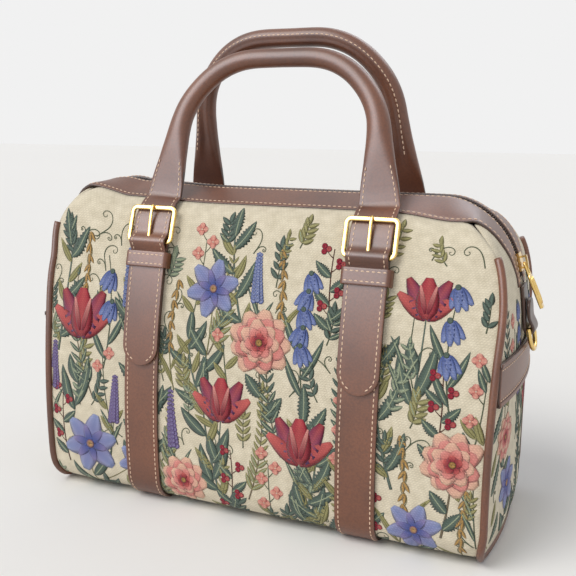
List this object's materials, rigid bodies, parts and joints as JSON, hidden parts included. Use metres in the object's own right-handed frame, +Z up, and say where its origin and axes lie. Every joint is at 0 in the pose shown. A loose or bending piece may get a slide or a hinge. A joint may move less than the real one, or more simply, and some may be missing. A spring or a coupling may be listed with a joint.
{
  "type": "tapestry purse",
  "caption": "Soft zip-top handbag in floral tapestry with leather trim, rolled handles on prong buckles, sewn straps and D-rings.",
  "frame": {"origin": "centre of the bag's length and depth, at the underside of the two sewn straps it stands on", "axes": "+X along the bag towards the end where the closed zip's slider is, -Y out of the front face, +Z up"},
  "size_m": [0.3327, 0.136, 0.3113],
  "materials": {
    "tapestry": "woven jacquard, floral",
    "leather": "smooth, satin, saddle stitched",
    "dark_leather": "smooth, satin",
    "lining": "plain woven twill",
    "board": "pressed board",
    "hardware": "polished, gold coloured",
    "zip_tape": "woven tape",
    "zip_coil": "coiled nylon",
    "cord_core": "twisted cotton cord"
  },
  "bodies": {
    "bag": {"tapestry_wrap": "tapestry", "lining": "lining", "base_board": "board", "end_panel_left": "tapestry", "piping_left": "leather", "end_band_left": "leather", "end_tab_left": "dark_leather", "strap_left": "leather", "end_panel_right": "tapestry", "piping_right": "leather", "end_band_right": "leather", "end_tab_right": "dark_leather", "strap_right": "leather", "top_band_front": "leather", "zip_tape_front": "zip_tape", "zip_coil_front": "zip_coil", "buckle_frame_front_left": "hardware", "buckle_prong_front_left": "hardware", "keeper_front_left": "leather", "handle_end_front_left": "leather", "buckle_frame_front_right": "hardware", "buckle_prong_front_right": "hardware", "keeper_front_right": "leather", "handle_end_front_right": "leather", "top_band_back": "leather", "zip_tape_back": "zip_tape", "zip_coil_back": "zip_coil", "buckle_frame_back_left": "hardware", "buckle_prong_back_left": "hardware", "keeper_back_left": "leather", "handle_end_back_left": "leather", "buckle_frame_back_right": "hardware", "buckle_prong_back_right": "hardware", "keeper_back_right": "leather", "handle_end_back_right": "leather"},
    "handle_front": {"handle_front": "leather", "handle_core_front": "cord_core"},
    "handle_back": {"handle_back": "leather", "handle_core_back": "cord_core"},
    "zip_slider": {"zip_slider": "hardware"},
    "zip_pull": {"zip_pull": "hardware"},
    "d_ring_left": {"d_ring_left": "hardware"},
    "d_ring_right": {"d_ring_right": "hardware"}
  },
  "joints": [
    {"name": "front_handle_swing", "type": "hinge", "parent": "bag", "child": "handle_front", "pos_m": [0, -0.03035, 0.20234], "axis": [1, 0, 0], "range_deg": [0, 80]},
    {"name": "back_handle_swing", "type": "hinge", "parent": "bag", "child": "handle_back", "pos_m": [0, 0.03035, 0.20234], "axis": [-1, 0, 0], "range_deg": [0, 80]},
    {"name": "zip_run", "type": "hinge", "parent": "bag", "child": "zip_slider", "pos_m": [0.10254, 0, 0.158], "axis": [0, -1, 0], "range_deg": [0, 76]},
    {"name": "pull_swing", "type": "hinge", "parent": "zip_slider", "child": "zip_pull", "pos_m": [0.15517, 0, 0.16967], "axis": [0, -1, 0], "range_deg": [0, 110]},
    {"name": "ring_swing_right", "type": "hinge", "parent": "bag", "child": "d_ring_right", "pos_m": [0.161, 0, 0.131], "axis": [0, -1, 0], "range_deg": [0, 100]},
    {"name": "ring_swing_left", "type": "hinge", "parent": "bag", "child": "d_ring_left", "pos_m": [-0.161, 0, 0.131], "axis": [0, 1, 0], "range_deg": [0, 100]}
  ]
}
